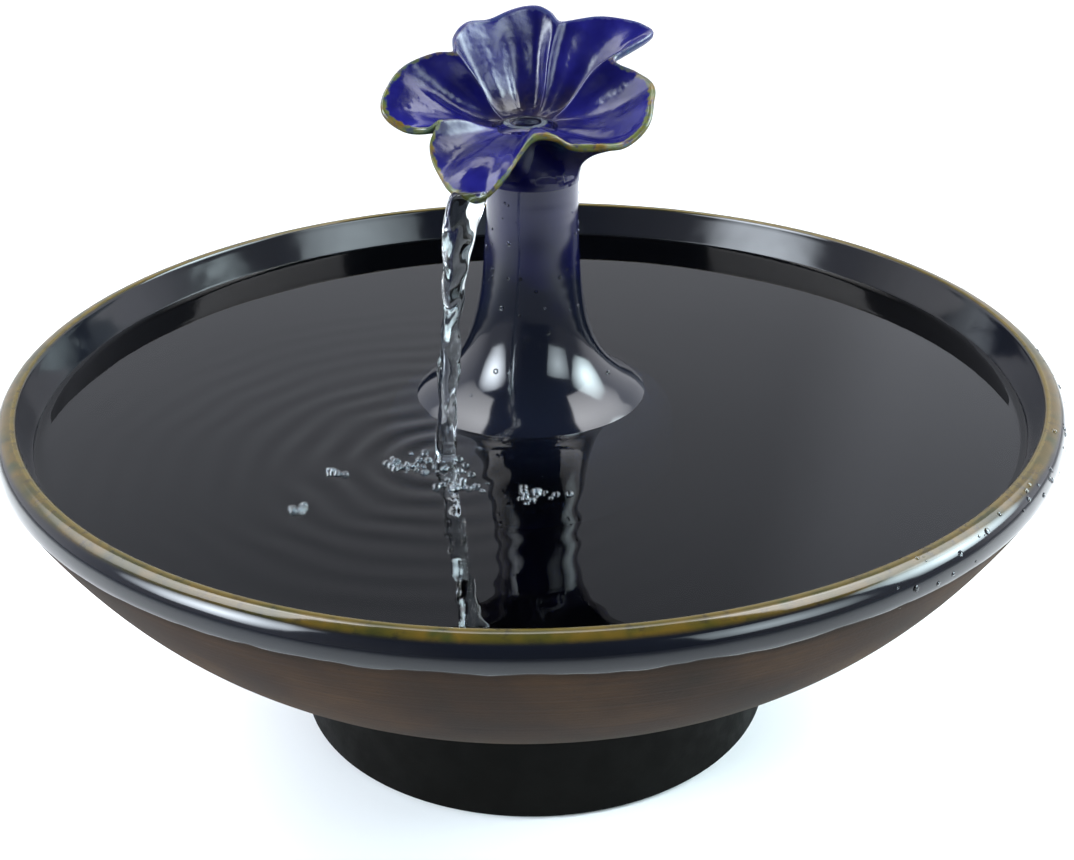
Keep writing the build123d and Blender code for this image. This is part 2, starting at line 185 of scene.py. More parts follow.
# --- Shared material steps ---------------------------------------------------------------
def linear(hex_colour):
    """A linear RGBA colour from an sRGB hex value."""
    channels = [int(hex_colour[k:k + 2], 16) / 255 for k in (1, 3, 5)]
    return tuple(
        c / 12.92 if c <= 0.04045 else ((c + 0.055) / 1.055) ** 2.4 for c in channels
    ) + (1.0,)


# What add() makes, by a short name: the node, its settings, the sockets its values go to in
# order, with what a socket holds when nothing is given, and the output that is used.
EASED = {"interpolation_type": "SMOOTHSTEP"}
NODES = {
    "place": ("TexCoord", {}, {}, "Object"),
    "direction": ("TexCoord", {}, {}, "Generated"),
    "path": ("UVMap", {}, {}, 0),
    "edge_mm": ("Attribute", {"attribute_name": "edge_mm"}, {}, "Fac"),
    "inside": ("Attribute", {"attribute_name": "inside"}, {}, "Fac"),
    "x of": ("SeparateXYZ", {}, {0: None}, 0),
    "y of": ("SeparateXYZ", {}, {0: None}, 1),
    "z of": ("SeparateXYZ", {}, {0: None}, 2),
    "upright": ("CombineXYZ", {}, {2: None}, 0),
    "stretch": ("Mapping", {}, {"Vector": None, "Scale": None}, 0),
    "cloud": ("TexNoise", {}, {"Vector": None, "Scale": None, "Detail": 4, "Roughness": 0.55}, 0),
    "cells": ("TexVoronoi", {"feature": "DISTANCE_TO_EDGE"}, {"Vector": None, "Scale": None}, 0),
    "ease": ("MapRange", EASED, dict.fromkeys(range(5)), 0),
    "map": ("MapRange", {}, dict.fromkeys(range(5)), 0),
    "blend": ("Mix", {"data_type": "RGBA"}, {0: None, 6: None, 7: None}, 2),
    "ramp": ("ValToRGB", {}, {0: None}, 0),
    "bump": ("Bump", {}, {"Height": None, "Distance": None}, 0),
    "glow": ("Background", {}, {0: None, 1: None}, 0),
    "world": ("OutputWorld", {}, {0: None}, None),
}


def add(tree, kind, *values, stops=None, **named):
    """Adds one node and gives its output; a kind that isn't in NODES is a Math operation."""
    maths = ("Math", {"operation": kind}, {0: None, 1: None}, 0)
    shader_node, settings, sockets, output = NODES.get(kind, maths)
    made = tree.nodes.new("ShaderNode" + shader_node)
    for key, value in settings.items():
        setattr(made, key, value)
    fill(made, {**sockets, **dict(zip(sockets, values)), **named})
    if stops:
        marks = made.color_ramp.elements
        while len(marks) < len(stops):
            marks.new(0.5)
        for mark, (position, colour) in zip(marks, stops.items()):
            mark.position, mark.color = position, linear(colour)
    return None if output is None else made.outputs[output]


def fill(made, inputs):
    """Sets or links a node's sockets; text is a hex colour, and what is None is left alone."""
    for key, value in inputs.items():
        if isinstance(value, bpy.types.NodeSocket):
            made.id_data.links.new(value, made.inputs[key])
        elif value is not None:
            made.inputs[key].default_value = linear(value) if isinstance(value, str) else value


def new_material(name):
    """An empty material, a function that adds its nodes, its place and its Principled shader."""
    material = bpy.data.materials.new(name)
    material.use_nodes = True
    tree = material.node_tree
    tree.nodes.clear()
    shader = tree.nodes.new("ShaderNodeBsdfPrincipled")
    output = tree.nodes.new("ShaderNodeOutputMaterial")
    fill(output, {"Surface": shader.outputs[0]})
    return material, partial(add, tree), add(tree, "place"), shader


def wire(shader, **inputs):
    """Sets or links the shader's sockets, an underscore standing for a space."""
    fill(shader, {key.replace("_", " "): value for key, value in inputs.items()})


def feature(across_mm):
    """The scale of a pattern whose features are about that many millimetres across."""
    return 1 / (across_mm * MM)


# --- Materials ---------------------------------------------------------------------------
def bowl_stoneware(sizes, glaze_start, crest):
    """Wheel-thrown stoneware: a poured gloss glaze that breaks amber over the rim, bare clay below.

    The glaze starts and the rim's crest lies at these lengths along the bowl's profile.
    """
    material, node, place, shader = new_material("bowl_stoneware")
    along = node("y of", node("path"))
    # The glaze stops in a thick soft-edged line that wanders a little round the bowl.
    wander = node("cloud", place, feature(22), Detail=2)
    wander = node("ease", wander, 0.3, 0.7, -0.7 * MM, 0.7 * MM)
    edge = node("ADD", along, wander)
    glazed = node("ease", edge, glaze_start - 0.25 * MM, glaze_start + 0.25 * MM)
    # Over the lip the glaze runs thin and shows amber, olive and tan.
    mottle = node("cloud", place, feature(3.2), Detail=5, Roughness=0.65)
    patch = node("cloud", place, feature(14), Detail=3)
    from_crest = node("SUBTRACT", along, crest)
    outer = node("ease", from_crest, -4.4 * MM, -2.6 * MM)
    inner = node("ease", from_crest, 0.9 * MM, 1.9 * MM, 1.0, 0.0)
    thin = node("MULTIPLY", outer, inner)
    thin = node("MULTIPLY", thin, node("ease", mottle, 0.26, 0.5, 0.45, 1.0))
    off_line = node("ABSOLUTE", node("ADD", from_crest, -0.5 * MM))
    lip_line = node("ease", off_line, 0.3 * MM, 1.1 * MM, 1.0, 0.0)
    ambers = {0.3: "#24260f", 0.45: "#383210", 0.58: "#4a3a13", 0.72: "#2b2e13"}
    amber = node("ramp", patch, stops=ambers)
    amber = node("blend", node("MULTIPLY", lip_line, 0.6), amber, "#5a4c22")
    # Midnight glaze: near black, with a blue cast where it lies thick in the pool.
    depth = node("cloud", place, feature(40), Detail=3)
    midnight = node("blend", depth, sizes.glaze_hex, "#10131c")
    glaze = node("blend", thin, midnight, amber)
    # Bare clay: grey brown with iron specks and the fine rings that the turning tool leaves.
    rings = node("upright", node("z of", place))
    tooling = node("cloud", rings, feature(1.6), Detail=3, Roughness=0.7)
    broad = node("cloud", place, feature(30), Detail=4)
    clay = node("ramp", broad, stops={0.3: "#1d1106", 0.5: "#2d1b0a", 0.7: "#412b12"})
    clay = node("blend", node("ease", tooling, 0.35, 0.65, 0.0, 0.45), clay, "#211810")
    specks = node("ease", node("cloud", place, feature(1.1), Detail=1), 0.68, 0.74)
    clay = node("blend", node("MULTIPLY", specks, 0.7), clay, "#1c1410")
    grain = node("cloud", place, feature(0.7), Detail=3, Roughness=0.7)
    # A dark run of fluxed glaze lies along the edge of the bare clay.
    halo = node("ease", edge, glaze_start - 2.5 * MM, glaze_start - 0.2 * MM)
    clay = node("blend", node("MULTIPLY", halo, 0.55), clay, "#1a120d")
    colour = node("blend", glazed, clay, glaze)
    # Under the pool the glaze is painted near black, a painted shade for the dark water over it, and
    # it is made rough and metallic so that it mirrors nothing.
    painted_underwater_shade = node("ease", from_crest, 12 * MM, 14.5 * MM)
    dry_rough = node("map", glazed, 0, 1, 0.88, 0.09)
    rough = node("MAXIMUM", dry_rough, node("MULTIPLY", painted_underwater_shade, 0.75))
    colour = node("blend", painted_underwater_shade, colour, "#030304")
    texture = node("ADD", grain, node("MULTIPLY", tooling, 1.6))
    fine = node("MULTIPLY", texture, node("SUBTRACT", 1.0, glazed))
    swell = node("bump", node("cloud", place, feature(26), Detail=2), 0.25 * MM)
    step = node("bump", glazed, 0.45 * MM, Normal=swell)
    normal = node("bump", fine, 0.12 * MM, Strength=0.8, Normal=step)
    # Bare clay is porous and has next to no gloss: being part metallic takes its pale sheen away.
    matt = node("MAXIMUM", painted_underwater_shade, node("map", glazed, 0, 1, 0.6, 0.0))
    wire(shader, Base_Color=colour, Roughness=rough, Metallic=matt, Normal=normal, IOR=1.46)
    return material


def column_glaze(sizes):
    """The same glaze over a thrown stem: it turns cobalt near the top and pools in ripples."""
    material, node, place, shader = new_material("column_midnight_glaze")
    height = node("z of", place)
    drift = node("ease", node("cloud", place, feature(12), Detail=3), 0.3, 0.7, -6 * MM, 6 * MM)
    level = node("ADD", height, drift)
    cobalt = node("ease", level, BELL_HIGH.z - 40 * MM, BELL_HIGH.z - 4 * MM)
    depth = node("cloud", place, feature(30), Detail=2)
    base = node("blend", depth, sizes.glaze_hex, "#0d1220")
    colour = node("blend", cobalt, base, UNDER_HEX)
    ripple = node("cloud", node("stretch", place, (1, 1, 0.3)), feature(14), Detail=2)
    throwing = node("upright", height)
    normal = node("bump", ripple, 0.14 * MM)
    normal = node("bump", node("cloud", throwing, feature(7), Detail=1), 0.06 * MM, Normal=normal)
    wire(shader, Base_Color=colour, Roughness=0.09, Normal=normal, IOR=1.5)
    return material


def petal_glaze(sizes):
    """Cobalt glaze, thick and glossy in the petals; it breaks olive and amber on the thin edge."""
    material, node, place, shader = new_material("petal_cobalt_glaze")
    drift = node("cloud", place, feature(2.2), Detail=4, Roughness=0.6)
    edge = node("ADD", node("edge_mm"), node("ease", drift, 0.3, 0.7, -0.5, 0.5))
    broken = node("ease", edge, 0.0, 0.8, 1.0, 0.0)
    pool = node("cloud", place, feature(13), Detail=3)
    cobalt = node("ramp", pool, stops={0.3: "#0a0a38", 0.5: sizes.cobalt_hex, 0.72: "#1a195c"})
    # Towards the throat the cobalt is painted darker, mottled blue black and brown: painted shade in
    # the deep hollow.
    throat = node("ease", edge, 22, 34)
    mottle = node("ease", node("cloud", place, feature(5), Detail=3), 0.4, 0.62)
    deep = node("blend", mottle, "#0f0f26", "#2a2420")
    cobalt = node("blend", node("MULTIPLY", throat, 0.8), cobalt, deep)
    # Near its edge the underside is painted with patches of teal over dark blue: painted glints.
    painted_glint_patches = node("ease", node("cloud", place, feature(4), Detail=2), 0.4, 0.62)
    painted_teal_glints = node("blend", painted_glint_patches, "#101f3c", "#2c5a62")
    under = node("blend", node("ease", edge, 1.5, 9), painted_teal_glints, UNDER_HEX)
    colour = node("blend", node("inside"), under, cobalt)
    patch = node("cloud", place, feature(8), Detail=3)
    olives = {0.32: "#344430", 0.47: "#4a5028", 0.58: "#5c481c", 0.7: "#2c3922"}
    lip = node("ramp", patch, stops=olives)
    # Towards the back the lip is painted blue grey instead of olive and amber: a painted highlight.
    astray = node("ease", drift, 0.3, 0.7, -6 * MM, 6 * MM)
    behind = node("ease", node("ADD", node("y of", place), astray), -4 * MM, 14 * MM)
    lip = node("blend", node("MULTIPLY", behind, 0.85), lip, "#262c5e")
    colour = node("blend", broken, colour, lip)
    normal = node("bump", node("cloud", place, feature(7), Detail=2), 0.35 * MM)
    normal = node("bump", node("cloud", place, feature(1.6), Detail=2), 0.04 * MM, Normal=normal)
    satin = node("ease", node("cloud", place, feature(9), Detail=3), 0.35, 0.65, 0.12, 0.26)
    wire(shader, Base_Color=colour, Roughness=satin, Normal=normal, IOR=1.4)
    return material


def clear_water():
    """Fresh water: colourless, smooth, and bright only where it mirrors or bends the light."""
    material, node, place, shader = new_material("clear_water")
    tint = node("blend", node("cloud", place, feature(60), Detail=1), "#e6eef0", "#f6fbff")
    wire(shader, Base_Color=tint, Roughness=0.0, IOR=1.333, Transmission_Weight=1.0)
    return material


def moulded_plastic(name, dark_hex, light_hex, grain_mm=0.8, rough=0.5, depth_mm=0.03, shine=0.5):
    """Injection-moulded ABS: an even colour under the fine grain of an eroded mould."""
    material, node, place, shader = new_material(name)
    grain = node("cloud", place, feature(grain_mm), Detail=2)
    colour = node("blend", node("cloud", place, feature(20), Detail=3), dark_hex, light_hex)
    wear = node("cloud", place, feature(9), Detail=4)
    worn = node("ease", wear, 0.35, 0.65, rough - 0.07, rough + 0.07)
    wire(shader, Base_Color=colour, Roughness=worn, Normal=node("bump", grain, depth_mm * MM),
         IOR=1.5, Specular_IOR_Level=shine)
    return material


def rubber():
    """Moulded black EPDM rubber: dull, slightly dusty on its high spots."""
    material, node, place, shader = new_material("moulded_rubber")
    dust = node("ease", node("cloud", place, feature(6), Detail=5), 0.45, 0.75)
    colour = node("blend", dust, "#131313", "#262524")
    wire(shader, Base_Color=colour, Roughness=0.8,
         Normal=node("bump", node("cloud", place, feature(0.6)), 0.03 * MM), IOR=1.5)
    return material


def clear_vinyl():
    """Extruded soft PVC tube: clear with a faint milky tint, glossy outside."""
    material, node, place, shader = new_material("clear_vinyl")
    haze = node("ease", node("cloud", place, feature(10), Detail=3), 0.3, 0.7, 0.08, 0.2)
    wire(shader, Base_Color=(0.9, 0.95, 0.95, 1.0), Roughness=haze, IOR=1.53,
         Transmission_Weight=0.85)
    return material


def lamination_steel():
    """Stacked electrical steel sheets, half a millimetre each, their edges punched and oiled."""
    material, node, place, shader = new_material("lamination_steel")
    sheets = node("PINGPONG", node("y of", place), 0.25 * MM)
    seam = node("ease", sheets, 0.0, 0.1 * MM)
    colour = node("blend", seam, "#2a2826", "#8c8c8e")
    rust = node("ease", node("cloud", place, feature(5), Detail=4), 0.58, 0.75, 0.0, 0.5)
    colour = node("blend", rust, colour, "#5a3a26")
    wire(shader, Base_Color=colour, Metallic=1.0, Roughness=0.38,
         Normal=node("bump", seam, 0.08 * MM))
    return material


def wound_copper():
    """Enamelled copper wire, 0.2 mm thick, laid turn beside turn under a red-brown varnish."""
    material, node, place, shader = new_material("wound_copper")
    # The turns are drawn 0.3 mm apart, as coarse as they need to be to show.
    turns = node("PINGPONG", node("x of", place), 0.15 * MM)
    crest = node("ease", turns, 0.0, 0.15 * MM)
    colour = node("blend", crest, "#5c2412", "#c8743c")
    wire(shader, Base_Color=colour, Metallic=1.0, Roughness=0.25,
         Normal=node("bump", crest, 0.1 * MM))
    return material


def hard_ceramic(name, dark_hex, light_hex, rough):
    """Pressed and sintered ceramic: dense, with a faint cloudy mottle and a ground surface."""
    material, node, place, shader = new_material(name)
    colour = node("blend", node("cloud", place, feature(1.5), Detail=5), dark_hex, light_hex)
    wire(shader, Base_Color=colour, Roughness=rough,
         Normal=node("bump", node("cloud", place, feature(0.5)), 0.015 * MM), IOR=1.7)
    return material


def cast_epoxy():
    """Black potting epoxy: poured, so it is glossy and level with a few soft dimples."""
    material, node, place, shader = new_material("cast_epoxy")
    colour = node("blend", node("cloud", place, feature(8)), "#070707", "#141414")
    wire(shader, Base_Color=colour, Roughness=0.16,
         Normal=node("bump", node("cloud", place, feature(6), Detail=2), 0.2 * MM), IOR=1.55)
    return material


def filter_foam():
    """Open-cell polyurethane foam: dark, with pores about a millimetre across."""
    material, node, place, shader = new_material("filter_foam")
    cells = node("cells", place, feature(1.2))
    strut = node("ease", cells, 0.02, 0.2, 1.0, 0.0)
    # The pores are painted near black and the struts dark grey: painted shade in the holes.
    colour = node("blend", strut, "#050506", "#2c2d30")
    wire(shader, Base_Color=colour, Roughness=0.9, Normal=node("bump", strut, 0.4 * MM))
    return material


# --- Sizes that a user would change ------------------------------------------------------
class FountainSizes(bpy.types.PropertyGroup):
    """Sizes and colours of the visible pieces, in metres where they are lengths."""

    water_level: FloatProperty(
        name="Water level", description="Height of the pool above the table",
        default=BOWL_HIGH.z - 12.1 * MM, subtype="DISTANCE",
    )
    stem_lean: FloatProperty(
        name="Stem lean", description="How far the stem's top stands off its foot",
        default=1.8 * MM, subtype="DISTANCE",
    )
    ripple_height: FloatProperty(
        name="Ripple height", description="Height of the first ring of ripples round the stream",
        default=0.42 * MM, subtype="DISTANCE",
    )
    bubble_count: IntProperty(
        name="Bubbles", description="How many bubbles float round the stream", default=110,
    )
    glaze_hex: StringProperty(
        name="Midnight glaze", description="sRGB hex colour of the bowl's glaze", default="#08090c",
    )
    cobalt_hex: StringProperty(
        name="Cobalt glaze", description="sRGB hex colour of the petals' glaze", default="#11104a",
    )
    floor_hex: StringProperty(
        name="Floor", description="sRGB hex colour of the floor", default="#f4f4f3",
    )


# --- The bowl ----------------------------------------------------------------------------
WIDEST = (162.3, 112.0)
CREST = (157.0, 120.3)
LIP_INSIDE = (155.4, 119.0)
WATER_LINE = (151.9, 108.2)


def bowl_profile():
    """The bowl's section from the middle of its underside, over the rim, to the floor's middle."""
    outline = [(0, 46.5), (30, 46.5), (64.8, 46.5), (65.6, 46.2), (66, 45.4)]
    outline += [(66, 41.0), (66.4, 40.3), (67.2, 40.0), (72.8, 40.0), (73.6, 40.3), (74, 41.0)]
    outline += [(74, 45.4), (74.4, 46.2), (75.2, 46.5), (80, 46.5)]
    outline += curve_points((80, 46.5), (129, 49), WIDEST, steps=30)
    widest_at = len(outline) - 1
    outline += curve_points(WIDEST, (163.1, 115.9), (161.0, 120.2), CREST, steps=12)
    crest_at = len(outline) - 1
    outline += curve_points(CREST, (155.6, 120.4), LIP_INSIDE, steps=6)
    outline += curve_points(LIP_INSIDE, (153.7, 113.6), WATER_LINE, steps=8)
    outline += curve_points(WATER_LINE, (138, 82), (118, 56), (58, 56), steps=28)
    outline += [(40, 56), (20, 56), (0, 56)]
    return [(r * MM, z * MM) for r, z in outline], widest_at, crest_at


def along_profile(profile, index):
    """The length along a profile from its start to one of its points."""
    return sum(math.dist(a, b) for a, b in zip(profile[:index], profile[1:index + 1]))


class FOUNTAIN_OT_bowl(bpy.types.Operator):
    """Throw the bowl: turn its section, let it warp a little in the kiln, and glaze it"""

    bl_idname = "fountain.bowl"
    bl_label = "Bowl"

    def execute(self, context):
        sizes = context.scene.fountain
        profile, widest_at, crest_at = bowl_profile()
        glaze_start = along_profile(profile, widest_at) - 0.4 * MM
        crest = along_profile(profile, crest_at)
        piece = turned("thrown_bowl", profile, segments=320, closed="poles")

        def warp(co):
            # The kiln leaves a rim that is a hair out of round and out of level.
            lift = max(0.0, (co.z - 0.09) / 0.03)
            turn = math.atan2(co.y, co.x)
            sway = math.sin(2 * turn + 0.7) * 0.6 + math.sin(3 * turn + 2.1) * 0.4
            co.z += lift * lift * 0.25 * MM * sway
            push = 1 + 0.0012 * lift * math.sin(3 * turn + 1.0)
            return Vector((co.x * push, co.y * push, co.z))

        reshape(piece, warp)
        settle(piece, angle=35)
        dress(piece, bowl_stoneware(sizes, glaze_start, crest), "bowl", "bowl_glaze", "bowl")
        return {"FINISHED"}


# --- The bell column ---------------------------------------------------------------------
ARCH_WIDTH = 14 * MM
ARCH_TOP = 9 * MM
BORE = 7.6
STEM_TOP = 178


def column_profile():
    """The bell column's section: up the outside, over the top, down the bore and the cavity."""
    outline = [(45, 56), (45.7, 56.3), (46, 57), (46, 66), (46, 76), (46, 84)]
    outline += curve_points((46, 84), (46, 102), (33.4, 110.4), steps=14)
    outline += curve_points((33.4, 110.4), (19.4, 119.7), (15.6, 132), (14, 164), steps=26)
    outline += [(13.9, 168), (13.9, 172), (13.9, 175), (13.9, STEM_TOP)]
    outline += [(BORE, STEM_TOP), (BORE, 160), (BORE, 108)]
    outline += curve_points((BORE, 108), (38.5, 108), (40.5, 84), steps=14)
    outline += [(40.5, 74), (40.5, 57), (40.8, 56.3), (41.5, 56)]
    return [(r * MM, z * MM) for r, z in outline]


def cut_arch(piece, turn):
    """Cuts one arch through the bell's skirt on the side that turn points to."""
    cutter = start_mesh(
        "arch_cutter", bpy.ops.mesh.primitive_cylinder_add,
        vertices=48, radius=ARCH_WIDTH / 2, depth=20 * MM,
        location=(BELL_HIGH.x - 3 * MM, 0, BELL_LOW.z + ARCH_TOP - ARCH_WIDTH / 2),
        rotation=(0, math.pi / 2, 0),
    )
    bpy.ops.object.mode_set(mode="OBJECT")
    bpy.ops.object.transform_apply(location=True, rotation=True, scale=True)
    cutter.data.transform(Matrix.Rotation(turn, 4, "Z"))
    bpy.ops.object.select_all(action="DESELECT")
    piece.select_set(True)
    bpy.context.view_layer.objects.active = piece
    cut = piece.modifiers.new("arch", "BOOLEAN")
    cut.operation = "DIFFERENCE"
    cut.object = cutter
    bpy.ops.object.modifier_apply(modifier=cut.name)
    bpy.data.objects.remove(cutter)


class FOUNTAIN_OT_column(bpy.types.Operator):
    """Throw the bell column: turn it, lean its stem, cut the water arches and glaze it"""

    bl_idname = "fountain.column"
    bl_label = "Bell column"

    def execute(self, context):
        sizes = context.scene.fountain
        piece = turned("glazed_column", column_profile(), segments=192)
        bell_top = 100 * MM

        def lean(co):
            # Only the outside leans and wavers: the bore stays true for the tube.
            radius = math.hypot(co.x, co.y)
            if radius < (BORE + 0.4) * MM or co.z < bell_top:
                return co
            outside = 1.0 if radius > 12 * MM else 0.0
            rise = (co.z - bell_top) / (BELL_HIGH.z - bell_top)
            turn = math.atan2(co.y, co.x)
            waver = noise.noise(Vector((math.cos(turn) * 1.2, math.sin(turn) * 1.2, co.z * 45)))
            push = 1 + outside * 0.022 * waver * min(1.0, rise * 4)
            shift = outside * sizes.stem_lean * rise
            return Vector((co.x * push + shift, co.y * push, co.z))

        reshape(piece, lean)
        settle(piece, angle=40)
        for turn in (0.0, math.pi / 2, math.pi):
            cut_arch(piece, turn)
        settle(piece, angle=40, normals=False)
        dress(piece, column_glaze(sizes), "column", "column_glaze", "bell_column")
        return {"FINISHED"}


# --- The flower --------------------------------------------------------------------------
# The rim of the petals, going round from the pouring petal: its direction in degrees from +X,
# its reach and its height over the leaning rim plane in mm, and how steeply it rises there.
PETAL_RIM = [
    (218, 30.8, -2.3, 5), (232, 35.7, -5.9, -10), (243, 40.5, -6.3, -28), (250, 41.7, -6.3, -32),
    (256, 41.3, -6.2, -30), (262, 38.0, -3.2, -18), (271, 28.0, -0.7, 0), (282, 24.0, 2.4, 12),
    (295, 25.0, 2.3, 18), (306, 27.0, -1.7, 5), (317, 33.0, -1.4, 10), (329, 37.0, -2.2, 20),
    (341, 40.0, -0.1, 32), (353, 40.0, 1.3, 40), (365, 40.3, 1.4, 38), (376, 37.0, 1.5, 30),
    (385, 32.7, 4.2, 30), (392, 48.3, 3.8, 8), (397, 48.4, 4.6, 10), (403, 46.5, 5.0, 18),
    (413, 42.0, 5.3, 28), (424, 38.0, 4.0, 42), (428, 35.6, 4.7, 48), (433, 37.0, 6.5, 55),
    (440, 38.0, 7.6, 58), (452, 35.2, 7.5, 50), (465, 33.0, 6.5, 42), (478, 31.5, 7.7, 45),
    (490, 28.0, 7.0, 50), (500, 23.3, 6.4, 58), (508, 27.8, 6.0, 44), (518, 33.6, 4.0, 28),
    (531, 37.2, 2.0, 16), (546, 39.2, -1.5, 2), (555, 34.5, -3.8, -4), (563, 28.5, -2.8, 8),
    (570, 26.0, 1.3, 28),
]
# Where the wall is pinched between petals: direction and half width in degrees, fold in mm.
PINCHES = [
    (288, 9, 2.0), (386, 6, 3.2), (428, 6, 2.2), (500, 6, 3.4), (571, 7, 2.4),
    (268, 8, -1.2), (452, 8, -1.4), (408, 7, -1.3), (520, 8, -1.2), (340, 12, -1.6),
]
FLOWER_MIDDLE = Vector((-2.6, -4.0, 202.0)) * MM
FLOWER_LEAN = math.radians(21.5)
DENT_SEED = 3
THROAT_RADIUS = 4.6 * MM
THROAT_HEIGHT = 193.0 * MM
INSIDE_RINGS, LIP_RINGS, OUTSIDE_RINGS = 44, 9, 30
LIP_RADIUS = 1.05 * MM
FOOT_RADIUS = 14.1 * MM
FAR_FROM_EDGE_MM = 40.0


def rim_values(turn):
    """The rim's reach, height and rise at a direction, eased between the points above."""
    first = PETAL_RIM[0][0]
    angle = (math.degrees(turn) - first) % 360 + first
    count = len(PETAL_RIM)

    def mark(k):
        wraps, place = divmod(k, count)
        return (PETAL_RIM[place][0] + 360 * wraps, *PETAL_RIM[place][1:])

    k = max(i for i in range(count) if PETAL_RIM[i][0] <= angle)
    before, here, after, beyond = (mark(k + step) for step in (-1, 0, 1, 2))
    span = after[0] - here[0]
    t = (angle - here[0]) / span
    values = []
    for part in (1, 2, 3):
        slope_here = (after[part] - before[part]) / (after[0] - before[0]) * span
        slope_after = (beyond[part] - here[part]) / (beyond[0] - here[0]) * span
        values.append(
            here[part] * (2 * t**3 - 3 * t**2 + 1) + slope_here * (t**3 - 2 * t**2 + t)
            + after[part] * (3 * t**2 - 2 * t**3) + slope_after * (t**3 - t**2)
        )
    reach, height, rise = values
    return reach * MM, height * MM, math.radians(rise)


def rim_frame(turn):
    """A rim point and the direction in which the petal runs out there."""
    reach, height, rise = rim_values(turn)
    across = Vector((1, 0, 0))
    back = Vector((0, math.cos(FLOWER_LEAN), math.sin(FLOWER_LEAN)))
    upward = across.cross(back)
    outward = across * math.cos(turn) + back * math.sin(turn)
    place = FLOWER_MIDDLE + outward * reach + upward * height
    run = outward * math.cos(rise) + upward * math.sin(rise)
    return place, run


def fold_height(turn):
    """How far the pinches lift the wall at a direction."""
    lift = 0.0
    for middle, half_width, height in PINCHES:
        away = (math.degrees(turn) - middle + 180) % 360 - 180
        lift += height * MM * math.exp(-((away / half_width) ** 2))
    ruffle = noise.noise(Vector((math.cos(turn) * 5, math.sin(turn) * 5, 4.0)))
    return lift + 1.1 * MM * ruffle


class FOUNTAIN_OT_flower(bpy.types.Operator):
    """Build the flower: a thrown cup whose wall is pulled and pinched into five petals"""

    bl_idname = "fountain.flower"
    bl_label = "Flower"

    def execute(self, context):
        sizes = context.scene.fountain
        segments = 360
        rings = INSIDE_RINGS + LIP_RINGS + OUTSIDE_RINGS
        # A plain cup is turned first: down the bore, up the inside, over the lip, down the outside.
        cup = [(BORE * MM, STEM_TOP * MM), (BORE * MM, 191.5 * MM)]
        cup += [((9 + 0.5 * k) * MM, (193 + 0.1 * k) * MM) for k in range(rings - OUTSIDE_RINGS)]
        cup += [((34 - 0.66 * k) * MM, (196 - 0.6 * k) * MM) for k in range(OUTSIDE_RINGS)]
        piece = turned("petal_bowl", cup, segments=segments)
        bpy.ops.object.mode_set(mode="OBJECT")
        mesh = piece.data
        edge = mesh.attributes.new("edge_mm", "FLOAT", "POINT")
        inside = mesh.attributes.new("inside", "FLOAT", "POINT")
        for column in range(segments):
            turn = 2 * math.pi * column / segments
            place, run = rim_frame(turn)
            flat = Vector((math.cos(turn), math.sin(turn), 0))
            side = (run.cross(Vector((-flat.y, flat.x, 0)))).normalized()
            side = side if side.z > 0 or side.dot(flat) < 0 else -side
            centre = place - run * LIP_RADIUS
            fold = side * fold_height(turn)
            throat = flat * THROAT_RADIUS + Vector((0, 0, THROAT_HEIGHT))
            span = (centre - throat).length
            # Each side of the wall is one curve; its handles are shares of its span.
            inner = [
                throat, throat + flat * span * 0.42 + Vector((0, 0, -0.6 * MM)),
                centre + side * LIP_RADIUS - run * span * 0.34, centre + side * LIP_RADIUS,
            ]
            foot = flat * FOOT_RADIUS + Vector((sizes.stem_lean, 0, BELL_HIGH.z - 1.2 * MM))
            span = (centre - foot).length
            outer = [
                centre - side * LIP_RADIUS, centre - side * LIP_RADIUS - run * span * 0.40,
                foot + Vector((0, 0, span * 0.36)), foot,
            ]
            for k in range(rings):
                if k < INSIDE_RINGS:
                    share = k / (INSIDE_RINGS - 1)
                    point = bezier(inner, share) + fold * 4 * share**1.6 * (1 - share)
                    from_edge, is_inside = span * (1 - share) / MM, 1.0
                elif k < INSIDE_RINGS + LIP_RINGS:
                    swing = math.pi * (k - INSIDE_RINGS + 1) / (LIP_RINGS + 1)
                    point = centre + (side * math.cos(swing) + run * math.sin(swing)) * LIP_RADIUS
                    from_edge, is_inside = 0.0, 1.0 if swing < math.pi / 2 else 0.0
                else:
                    share = (k - INSIDE_RINGS - LIP_RINGS) / (OUTSIDE_RINGS - 1)
                    point = bezier(outer, share) + fold * 4 * share * (1 - share) ** 1.6
                    from_edge, is_inside = span * share / MM, 0.0
                index = (k + 2) * segments + column
                mesh.vertices[index].co = point
                edge.data[index].value = from_edge
                inside.data[index].value = is_inside
        for index in range(2 * segments):
            edge.data[index].value = FAR_FROM_EDGE_MM
        mesh.update()
        # The hand leaves soft dents in the clay, the same ones each time.
        noise.seed_set(DENT_SEED)

        def dent(co):
            soft = noise.noise_vector(co * 55) * 0.5 + noise.noise_vector(co * 120) * 0.2
            return co + soft * MM if math.hypot(co.x, co.y) > 9 * MM and co.z > 180 * MM else co

        reshape(piece, dent)
        settle(piece, angle=60, normals=False)
        dress(piece, petal_glaze(sizes), "column", "flower_glaze", "flower_head")
        return {"FINISHED"}


# --- The water ---------------------------------------------------------------------------
WELL_RADIUS = 11.5 * MM
RING_SPACING = 10.5 * MM
STREAM_TOP = Vector((-14.9, -38.4, 184.6)) * MM
STREAM_FOOT = Vector((-24.6, -48.6, 108.0)) * MM


